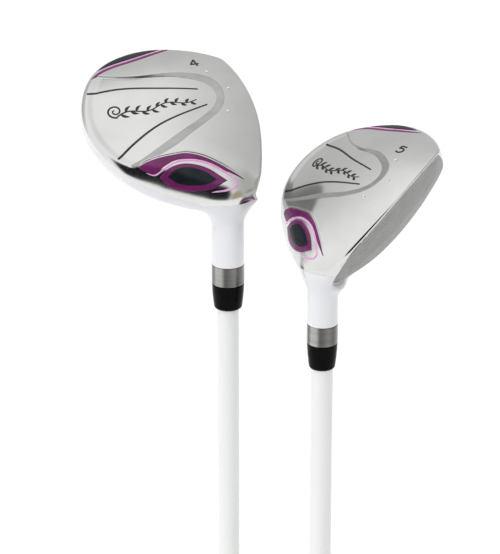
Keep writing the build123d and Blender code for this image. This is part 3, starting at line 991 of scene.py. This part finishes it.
TOE_LINE = (
    (58.4, -37.8), (60.5, -34.0), (61.8, -28.6), (62.3, -23.5), (62.9, -18), (63.9, -12.5),
    (65.2, -6.6), (66.9, 0.8),
)
TOE_EYE = (
    ((61.2, -34.4), (62.2, -29.4), (62.8, -23.5), (63.4, -18), (64.4, -12.5), (65.7, -6.6), (67.2, -1.4)),
    ((61.6, -35.0), (65.3, -28.8), (67.3, -22.6), (68.3, -17), (68.6, -12), (68.4, -6.6), (67.6, -1.8)),
)

# Each fill: its name's end, its sides, its finish, the slot, the CAD badge that it stands for, rise, rows
FILLS = (
    ("heel_rim_bright", ribbon(HEEL_RIM, 0.8), "chrome", "polished_plate", None, 0.16, 9),
    ("heel_band_enamel", HEEL_BAND, "plum", "plum_enamel", "heel_badge_plum", 0.14, 9),
    ("heel_line_enamel", ribbon(HEEL_LINE, 1.05), "pink", "pink_enamel", "heel_badge_line", 0.25, 9),
    ("heel_ring_enamel", HEEL_RING, "plum", "plum_enamel", None, 0.14, 15),
    ("heel_eye_enamel", HEEL_EYE, "black_enamel", "black_enamel", "heel_badge_eye", 0.26, 13),
    ("toe_band_enamel", TOE_BAND, "plum", "plum_enamel", "toe_badge_plum", 0.14, 9),
    ("toe_line_enamel", ribbon(TOE_LINE, 0.9), "pink", "pink_enamel", "toe_badge_line", 0.2, 9),
    ("toe_eye_enamel", TOE_EYE, "black_enamel", "black_enamel", "toe_badge_eye", 0.16, 17),
)


def medallions(club, materials):
    """The enamel leaves at heel and toe."""
    for name, sides, finish, slot, badge, rise, across in FILLS:
        replaces = (f"{club.name}_{badge}",) if badge else ()
        inlay(f"{club.name}_{name}", club, *sides, materials[finish], slot, replaces, rise, across)


def recess_bevel(club, material):
    """The satin bevel round the sunk arrow field, short of its open ends."""

    def height(shape_club, x, y):
        return plate_height(shape_club, x, y) + PLATE_PROUD

    sides = [open_spline(side, 160)[BEVEL_SPAN] for side in (RECESS_OUTER, RECESS_INNER)]
    name = f"{club.name}_recess_bevel"
    inlay(name, club, *sides, material, "polished_plate", rise=0.08, across=11, along=160, shape=height)


# ---------------------------------------------------------------- hosel, ferrule, shaft and grip


def shaft_radius(club, height):
    share = (height - BUTT_PARALLEL) / (club.length - TIP_PARALLEL - BUTT_PARALLEL)
    return BUTT_RADIUS + np.clip(share, 0, 1) * (TIP_RADIUS - BUTT_RADIUS)


def hosel_band(club, material):
    """The bare steel end of the hosel, with a turned chamfer at each edge."""
    top = club.length - club.hosel_length
    low = top - BAND_LENGTH
    r = club.hosel_radius + 0.05
    profile = [(4.75, low), (r - 0.35, low), (r, low + 0.3), (r, top - 0.35), (r - 0.3, top), (4.75, top)]
    replaced = (f"{club.name}_hosel_sleeve",)
    turned(f"{club.name}_hosel_band", club, profile, material, 128, replaced, 20)


def ferrule(club, material):
    """The black collar: a straight taper with a rounded lower end and one fine step."""
    top = club.length - club.hosel_length - BAND_LENGTH
    low = top - FERRULE_LENGTH
    wide = club.hosel_radius - 0.02
    narrow = club.hosel_radius - 1.0
    profile = [(TIP_RADIUS, top), (wide - 0.25, top), (wide, top - 0.2), (wide - 0.08, top - 1.2)]
    t = np.linspace(0, 1, 14)[1:]
    body = [(wide - 0.08 - (wide - narrow - 0.2) * s**1.5, top - 1.2 - (FERRULE_LENGTH - 2.4) * s) for s in t]
    profile += body
    end_radius, end_height = body[-1]
    lip = end_radius - TIP_RADIUS - 0.05
    profile += [
        (TIP_RADIUS + 0.05 + lip * math.cos(a), end_height - 1.2 * math.sin(a))
        for a in np.linspace(0.15, math.pi / 2, 8)
    ]
    profile.append((TIP_RADIUS, low))
    replaced = (f"{club.name}_ferrule",)
    turned(f"{club.name}_ferrule_gloss", club, profile, material, 128, replaced, 40)


def shaft(club, material):
    """The tapered tube, seen between the ferrule and the grip."""
    tapered = np.linspace(BUTT_PARALLEL, club.length - TIP_PARALLEL, 40)
    heights = (4.0, *tapered, club.length - 22.0)
    outside = [(float(shaft_radius(club, h)), h) for h in heights]
    inside = [(r - SHAFT_WALL, h) for r, h in reversed(outside)]
    replaced = (f"{club.name}_shaft",)
    turned(f"{club.name}_shaft_lacquered", club, outside + inside, material, 96, replaced, 40)


def grip(club, material):
    """The moulded grip: shallow chevron pads between plain bands, and a beaded mouth."""
    heights = np.concatenate((np.linspace(8.0, 250.0, 900), np.linspace(250.0, GRIP_LENGTH, 40)[1:]))
    base = np.interp(heights, (8, 60, 120, 200, 256, GRIP_LENGTH), (13.0, 12.05, 10.9, 9.6, 8.75, 8.7))
    mouth = 0.45 * np.exp(-(((heights - 258.5) / 1.6) ** 2)) - 0.6 * smoothstep(260.6, GRIP_LENGTH, heights)
    base = base + mouth
    sides = 180
    angle = np.linspace(0, 2 * math.pi, sides, endpoint=False)
    a, h = np.meshgrid(angle, heights)
    field = smoothstep(22.0, 26.0, h) * smoothstep(244.0, 240.0, h)
    row = h / 5.0 + 0.5 * np.abs(((a / (2 * math.pi) * 8) % 1) * 2 - 1)
    chevron = smoothstep(0.30, 0.42, np.abs((row % 1) - 0.5) * 2) * field
    seam = smoothstep(0.035, 0.02, np.abs(((a / (2 * math.pi) * 4) % 1) - 0.5)) * field
    rings = 0.35 * np.exp(-((((h - 16.0) / 1.2)) ** 2)) + 0.35 * np.exp(-((((h - 247.5) / 1.2)) ** 2))
    radius = base[:, None] - 0.38 * field + 0.38 * chevron * (1 - seam) - rings
    points = np.stack((radius * np.cos(a), radius * np.sin(a), h), axis=-1).reshape(-1, 3)
    bore = np.interp(heights[::30], heights, shaft_radius(club, heights)) + 0.3
    lower = heights[::30]
    lower[-1] = GRIP_LENGTH
    inner = np.stack(
        (
            bore[::-1, None] * np.cos(angle),
            bore[::-1, None] * np.sin(angle),
            np.repeat(lower[::-1, None], sides, axis=1),
        ),
        axis=-1,
    ).reshape(-1, 3)
    points = np.concatenate((points, inner))
    faces = outward(points, ring_faces(len(heights) + len(lower), sides))
    make_piece(
        f"{club.name}_grip_moulded", club, points, faces, material,
        (f"{club.name}_grip",), head=False, sharp=50,
    )


def grip_cap(club, material):
    """The butt cap, with a raised ring and a vent hole."""
    profile = [(1.2, 4.0), (1.2, 0.5), (1.7, 0.0), (5.0, 0.0), (5.4, 0.45), (6.6, 0.45), (7.0, 0.0)]
    profile.append((12.3, 0.0))
    profile += arc((12.3, 1.7), 1.7, -80, 0, 8)
    profile.append((14.0, 6.0))
    profile += arc((12.9, 6.7), 1.1, 10, 85, 7)
    profile += [(12.6, 8.0), (7.65, 8.0), (7.65, 4.0)]
    replaced = (f"{club.name}_grip_cap",)
    turned(f"{club.name}_grip_cap_moulded", club, profile, material, 96, replaced, 50)


# ---------------------------------------------------------------- materials


def new_material(name):
    material = bpy.data.materials.new(name)
    material.use_nodes = True
    nodes = material.node_tree.nodes
    return material, nodes, material.node_tree.links, nodes["Principled BSDF"]


def object_point(nodes, links, scale=(1, 1, 1), club=None):
    """Object coordinates, turned into a club's head frame if one is given, then stretched."""
    place = nodes.new("ShaderNodeTexCoord").outputs["Object"]
    if club:
        turn = nodes.new("ShaderNodeMapping")
        turn.inputs["Rotation"].default_value = club.head_matrix.to_3x3().inverted().to_euler()
        links.new(place, turn.inputs["Vector"])
        place = turn.outputs["Vector"]
    stretch = nodes.new("ShaderNodeMapping")
    stretch.inputs["Scale"].default_value = scale
    links.new(place, stretch.inputs["Vector"])
    return stretch.outputs["Vector"]


def noise(nodes, links, vector, scale, detail=4.0, rough=0.55):
    texture = nodes.new("ShaderNodeTexNoise")
    texture.inputs["Scale"].default_value = scale
    texture.inputs["Detail"].default_value = detail
    texture.inputs["Roughness"].default_value = rough
    links.new(vector, texture.inputs["Vector"])
    return texture.outputs["Fac"]


def ramp(nodes, links, fac, stops):
    """A colour ramp from (place, colour) stops."""
    node = nodes.new("ShaderNodeValToRGB")
    elements = node.color_ramp.elements
    while len(elements) < len(stops):
        elements.new(0.5)
    for element, (place, colour) in zip(elements, stops):
        element.position = place
        element.color = (*colour, 1)
    links.new(fac, node.inputs["Fac"])
    return node.outputs["Color"]


def spread(nodes, links, fac, low, high):
    """Maps a 0 to 1 value onto a range."""
    node = nodes.new("ShaderNodeMapRange")
    node.inputs["To Min"].default_value = low
    node.inputs["To Max"].default_value = high
    links.new(fac, node.inputs["Value"])
    return node.outputs["Result"]


def bump(nodes, links, shader, height, strength, distance):
    node = nodes.new("ShaderNodeBump")
    node.inputs["Strength"].default_value = strength
    node.inputs["Distance"].default_value = distance
    links.new(height, node.inputs["Height"])
    links.new(node.outputs["Normal"], shader.inputs["Normal"])


def simple(name, low, high, rough, scale, metallic=0.0, coat=0.0, stretch=(1, 1, 1), grain=0.05, shine=0.5):
    """A finish with cloudy colour and roughness and a fine grain, stretched as asked."""
    material, nodes, links, shader = new_material(name)
    vector = object_point(nodes, links, stretch)
    cloud = noise(nodes, links, vector, scale)
    links.new(ramp(nodes, links, cloud, ((0.3, low), (0.7, high))), shader.inputs["Base Color"])
    links.new(spread(nodes, links, cloud, *rough), shader.inputs["Roughness"])
    shader.inputs["Metallic"].default_value = metallic
    shader.inputs["Coat Weight"].default_value = coat
    shader.inputs["Coat Roughness"].default_value = 0.06
    shader.inputs["Specular IOR Level"].default_value = shine
    bump(nodes, links, shader, noise(nodes, links, vector, scale * 9, 2.0), grain, 0.0001)
    return material


def chrome_material(club):
    """Polished plate: soft clouds in its brightness and fine polishing lines."""
    material, nodes, links, shader = new_material(f"{club.name}_polished_chrome")
    vector = object_point(nodes, links, (1.0, 0.12, 1.0), club)
    lines = noise(nodes, links, vector, 900.0, 3.0)
    cloud = noise(nodes, links, object_point(nodes, links), 45.0, 3.0)
    colour = ramp(nodes, links, cloud, ((0.25, (0.70, 0.70, 0.69)), (0.75, (0.80, 0.80, 0.79))))
    links.new(colour, shader.inputs["Base Color"])
    shader.inputs["Metallic"].default_value = 1.0
    links.new(spread(nodes, links, cloud, 0.11, 0.20), shader.inputs["Roughness"])
    bump(nodes, links, shader, lines, 0.06, 0.00003)
    return material


def brushed_material(club, name, low, high, stretch, rough, scale, grain):
    """Brushed steel: long grain in colour, roughness and height."""
    material, nodes, links, shader = new_material(f"{club.name}_{name}")
    vector = object_point(nodes, links, stretch, club)
    grain_lines = noise(nodes, links, vector, scale, 5.0, 0.7)
    cloud = noise(nodes, links, object_point(nodes, links), 90.0, 3.0)
    mix = nodes.new("ShaderNodeMath")
    mix.operation = "MULTIPLY_ADD"
    mix.inputs[1].default_value = 0.65
    links.new(grain_lines, mix.inputs[0])
    share = spread(nodes, links, cloud, 0.0, 0.35)
    links.new(share, mix.inputs[2])
    colour = ramp(nodes, links, mix.outputs["Value"], ((0.3, low), (0.75, high)))
    links.new(colour, shader.inputs["Base Color"])
    shader.inputs["Metallic"].default_value = 1.0
    links.new(spread(nodes, links, grain_lines, *rough), shader.inputs["Roughness"])
    bump(nodes, links, shader, grain_lines, grain, 0.00006)
    return material


# Painted reflection: grey levels of the dark and bright streaks that the surroundings would mirror round the
# buffed bar, by share of the turn
PAINTED_REFLECTION_TONES = (
    (0.00, 0.12), (0.06, 0.20), (0.12, 0.13), (0.20, 0.26), (0.35, 0.42), (0.50, 0.20), (0.62, 0.34),
    (0.76, 0.38), (0.83, 0.17), (0.87, 0.44), (0.93, 0.40), (0.97, 0.11), (1.00, 0.12),
)


def sleeve_material():
    """Turned and buffed steel: a painted reflection of dark and bright streaks round the tube in its colour,
    under fine turning marks.
    """
    material, nodes, links, shader = new_material("buffed_steel_painted_reflection")
    place = nodes.new("ShaderNodeTexCoord")
    turn = nodes.new("ShaderNodeMapping")
    # Painted reflection: the radial gradient is turned so that the darkest streak, at 0 and 1 on the ramp,
    # faces −Y, towards the camera; its greys then become the base colour
    turn.inputs["Rotation"].default_value = (0, 0, math.radians(-90.0))
    links.new(place.outputs["Object"], turn.inputs["Vector"])
    around = nodes.new("ShaderNodeTexGradient")
    around.gradient_type = "RADIAL"
    links.new(turn.outputs["Vector"], around.inputs["Vector"])
    stops = [(at, (grey, grey * 0.985, grey * 0.95)) for at, grey in PAINTED_REFLECTION_TONES]
    painted_reflection = ramp(nodes, links, around.outputs["Fac"], stops)
    marks = noise(nodes, links, object_point(nodes, links, (0.04, 0.04, 1.0)), 1400.0, 4.0, 0.65)
    mix = nodes.new("ShaderNodeMix")
    mix.data_type = "RGBA"
    mix.blend_type = "OVERLAY"
    mix.inputs["Factor"].default_value = 0.5
    links.new(painted_reflection, mix.inputs[6])
    links.new(ramp(nodes, links, marks, ((0.3, (0.3, 0.3, 0.3)), (0.7, (0.7, 0.7, 0.7)))), mix.inputs[7])
    links.new(mix.outputs[2], shader.inputs["Base Color"])
    shader.inputs["Metallic"].default_value = 1.0
    links.new(spread(nodes, links, marks, 0.16, 0.28), shader.inputs["Roughness"])
    bump(nodes, links, shader, marks, 0.05, 0.00004)
    return material


def head_materials(club):
    """The metals whose grain follows one club's head."""
    return {
        "chrome": chrome_material(club),
        "satin": brushed_material(
            club, "satin_bevel", (0.40, 0.40, 0.395), (0.58, 0.58, 0.575),
            stretch=(1.0, 0.1, 1.0), rough=(0.30, 0.42), scale=500.0, grain=0.1,
        ),
        "face": brushed_material(
            club, "brushed_face", (0.23, 0.23, 0.225), (0.35, 0.35, 0.34),
            stretch=(0.1, 1.0, 1.0), rough=(0.36, 0.5), scale=1500.0, grain=0.2,
        ),
    }


# Each finish: its material's name, darkest and lightest colour, roughness range, grain scale, and what else
FINISHES = {
    "white": ("white_paint", (0.77, 0.78, 0.82), (0.82, 0.83, 0.86), (0.20, 0.28), 25.0),
    "bead": ("bright_bead", (0.9, 0.9, 0.9), (0.97, 0.97, 0.97), (0.25, 0.35), 400.0),
    "hidden": ("cast_steel", (0.10, 0.10, 0.105), (0.20, 0.20, 0.21), (0.5, 0.7), 200.0),
    "plum": ("plum_enamel", (0.105, 0.012, 0.074), (0.165, 0.019, 0.122), (0.14, 0.2), 220.0),
    "pink": ("pink_enamel", (0.66, 0.30, 0.56), (0.76, 0.42, 0.68), (0.14, 0.2), 220.0),
    "black_enamel": ("black_enamel", (0.008, 0.010, 0.013), (0.014, 0.018, 0.022), (0.12, 0.2), 220.0),
    "paint": ("black_paint", (0.020, 0.020, 0.021), (0.040, 0.040, 0.042), (0.4, 0.55), 500.0),
    "plastic": ("black_plastic", (0.001, 0.001, 0.001), (0.003, 0.003, 0.003), (0.2, 0.3), 300.0),
    "shaft": ("white_shaft", (0.80, 0.825, 0.815), (0.85, 0.87, 0.86), (0.18, 0.26), 30.0),
    "epoxy": ("epoxy", (0.28, 0.25, 0.17), (0.38, 0.34, 0.24), (0.3, 0.4), 300.0),
    "tape": ("crepe_tape", (0.62, 0.58, 0.46), (0.78, 0.74, 0.62), (0.8, 0.9), 900.0),
    "grip": ("grip_rubber", (0.016, 0.016, 0.018), (0.034, 0.034, 0.037), (0.62, 0.78), 900.0),
}
FINISH_EXTRAS = {
    "white": {"coat": 0.8, "grain": 0.03},
    "bead": {"metallic": 1.0, "grain": 0.02},
    "hidden": {"metallic": 1.0, "grain": 0.3},
    "plum": {"coat": 0.15, "grain": 0.02, "shine": 0.3},
    "pink": {"coat": 0.3, "grain": 0.02},
    "black_enamel": {"coat": 0.1, "grain": 0.02, "shine": 0.15},
    "paint": {"grain": 0.1, "shine": 0.2},
    "plastic": {"grain": 0.03, "shine": 0.06},
    "shaft": {"coat": 0.8, "stretch": (1, 1, 0.1), "grain": 0.02},
    "epoxy": {},
    "tape": {"stretch": (0.2, 0.2, 3), "grain": 0.5},
    "grip": {"grain": 0.35},
}


def make_materials():
    """The finishes that both clubs share."""
    made = {key: simple(*FINISHES[key], **FINISH_EXTRAS[key]) for key in FINISHES}
    made["steel"] = sleeve_material()
    return made


HIDDEN_NODES = {"tip_weight": "hidden", "bond": "epoxy", "grip_tape": "tape"}


def dress_hidden_nodes(club, materials):
    """Gives the inner CAD pieces, which keep their own meshes, their finishes."""
    for part, finish in HIDDEN_NODES.items():
        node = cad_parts[f"{club.name}_{part}"]
        node.data.materials.clear()
        node.data.materials.append(materials[finish])


# ---------------------------------------------------------------- studio


EYE_DISTANCE = 1.2
EYE_ELEVATION = math.radians(22.0)
PIXELS_HIGH = 554
FOCUS_SCALE = 2357.0
IMAGE_SHIFT = (22.0, 14.2)


def make_camera(club):
    """A long lens, a little above the heads, with the 4's hosel shoulder just off the middle."""
    target = Vector((club.axis.x * MM, club.axis.y * MM, (club.length - club.hosel_length) * MM))
    back = Vector((0, -math.cos(EYE_ELEVATION), math.sin(EYE_ELEVATION)))
    up = Vector((0, math.sin(EYE_ELEVATION), math.cos(EYE_ELEVATION)))
    data = bpy.data.cameras.new("camera")
    data.sensor_fit = "AUTO"
    data.sensor_width = 36.0
    data.lens = FOCUS_SCALE * EYE_DISTANCE / PIXELS_HIGH * data.sensor_width
    data.clip_end = 100.0
    camera = bpy.data.objects.new("camera", data)
    bpy.context.scene.collection.objects.link(camera)
    slide = Vector((IMAGE_SHIFT[0], 0, 0)) - up * IMAGE_SHIFT[1]
    camera.location = target + back * EYE_DISTANCE + slide / FOCUS_SCALE
    camera.rotation_euler = (math.pi / 2 - EYE_ELEVATION, 0, 0)
    bpy.context.scene.camera = camera


def make_floor():
    mesh = bpy.data.meshes.new("floor")
    half = 20.0
    corners = [(-half, -half, 0), (half, -half, 0), (half, half, 0), (-half, half, 0)]
    mesh.from_pydata(corners, [], [(0, 1, 2, 3)])
    material, nodes, links, shader = new_material("pale_floor")
    cloud = noise(nodes, links, object_point(nodes, links), 0.8, 2.0)
    colour = ramp(nodes, links, cloud, ((0.3, (0.93, 0.93, 0.93)), (0.7, (0.95, 0.95, 0.95))))
    links.new(colour, shader.inputs["Base Color"])
    shader.inputs["Roughness"].default_value = 0.9
    mesh.materials.append(material)
    floor = bpy.data.objects.new("floor", mesh)
    bpy.context.scene.collection.objects.link(floor)


def direction_spot(nodes, links, direction, inner, outer):
    """1 towards a direction, falling to 0: a soft round patch of the world, by angle in degrees."""
    place = nodes.new("ShaderNodeTexCoord")
    dot = nodes.new("ShaderNodeVectorMath")
    dot.operation = "DOT_PRODUCT"
    dot.inputs[1].default_value = Vector(direction).normalized()
    links.new(place.outputs["Generated"], dot.inputs[0])
    edge = nodes.new("ShaderNodeMapRange")
    edge.interpolation_type = "SMOOTHSTEP"
    edge.inputs["From Min"].default_value = math.cos(math.radians(outer))
    edge.inputs["From Max"].default_value = math.cos(math.radians(inner))
    links.new(dot.outputs["Value"], edge.inputs["Value"])
    return edge.outputs["Result"]


def blend_colour(nodes, links, fac, below, above):
    """Mixes a colour over another, a value or a socket, by a factor."""
    mix = nodes.new("ShaderNodeMix")
    mix.data_type = "RGBA"
    links.new(fac, mix.inputs["Factor"])
    if isinstance(below, tuple):
        mix.inputs[6].default_value = (*below, 1)
    else:
        links.new(below, mix.inputs[6])
    mix.inputs[7].default_value = (*above, 1)
    return mix.outputs[2]


# Soft patches that the chrome mirrors: direction, angles of full and no effect, colour
WORLD_PATCHES = (
    ((0.95, 0.25, 0.35), 15, 72, (0.50, 0.50, 0.49)),
    ((0.1, 0.92, 0.42), 10, 45, (0.62, 0.62, 0.61)),
    ((-0.6, 0.75, 0.28), 12, 50, (0.58, 0.58, 0.58)),
    ((0.85, -0.65, 0.0), 14, 24, (0.42, 0.38, 0.25)),
    ((0.0, -0.93, 0.36), 26, 40, (0.01, 0.011, 0.014)),
)


def make_world():
    """A white studio: bright all round, darker where the photographer would stand."""
    world = bpy.data.worlds.new("studio")
    bpy.context.scene.world = world
    world.use_nodes = True
    nodes, links = world.node_tree.nodes, world.node_tree.links
    background = nodes["Background"]
    colour = (1.0, 1.0, 1.0)
    for direction, inner, outer, shade in WORLD_PATCHES:
        fac = direction_spot(nodes, links, direction, inner, outer)
        colour = blend_colour(nodes, links, fac, colour, shade)
    links.new(colour, background.inputs["Color"])
    background.inputs["Strength"].default_value = 1.0


SUNS = (("soft_light_top", (0.3, 0.5, -1.0), 1.5), ("soft_light_front", (0.25, 1.0, -0.35), 0.12))


def make_lights():
    """Broad soft light from above and in front, which the polished metal does not mirror."""
    for name, aim, power in SUNS:
        data = bpy.data.lights.new(name, "SUN")
        data.energy = power
        data.angle = math.radians(60.0)
        data.specular_factor = 0.0
        light = bpy.data.objects.new(name, data)
        bpy.context.scene.collection.objects.link(light)
        light.visible_glossy = False
        light.rotation_euler = Vector(aim).to_track_quat("-Z", "Y").to_euler()


# ---------------------------------------------------------------- the set


def dress(club, m):
    """Makes every visible piece of one club."""
    crown_shell(club, m["white"])
    sole_plate(club, m["chrome"])
    face_plate(club, m["face"])
    recess_bevel(club, m["satin"])
    medallions(club, m)
    sole_lines(club, m["paint"])
    numeral(club, m["paint"])
    flourish(club, m["paint"])
    bright_dots(club, m["bead"])
    hosel_band(club, m["steel"])
    ferrule(club, m["plastic"])
    shaft(club, m["shaft"])
    grip(club, m["grip"])
    grip_cap(club, m["grip"])
    back_weight(club, m["hidden"])
    dress_hidden_nodes(club, m)


FOUR = Club(
    "four",
    4,
    length=990.0,
    face_turn=-24.4,
    loft=24.0,
    hosel=(52.0, 6.9),
    plate_end=22.7,
    face_end=20.0,
    plan={"toe": 69.0, "toe_corner": (62.8, 6.2), "heel": -22.0, "front": 21.2, "rear": -51.5},
    marks=(1.0, 1.0, 0.0),
)
FIVE = Club(
    "five",
    5,
    length=964.2,
    face_turn=45.1,
    loft=27.0,
    hosel=(45.7, 6.5),
    plate_end=20.7,
    face_end=25.5,
    plan={"toe": 64.9, "toe_corner": (62.2, 8.6), "heel": -19.5, "front": 22.4, "rear": -42.0},
    marks=(0.935, 0.8155, 0.16),
)

bpy.context.scene.view_settings.view_transform = "Standard"
make_camera(FOUR)
make_floor()
make_world()
make_lights()
finishes = make_materials()
for golf_club in (FOUR, FIVE):
    dress(golf_club, finishes | head_materials(golf_club))
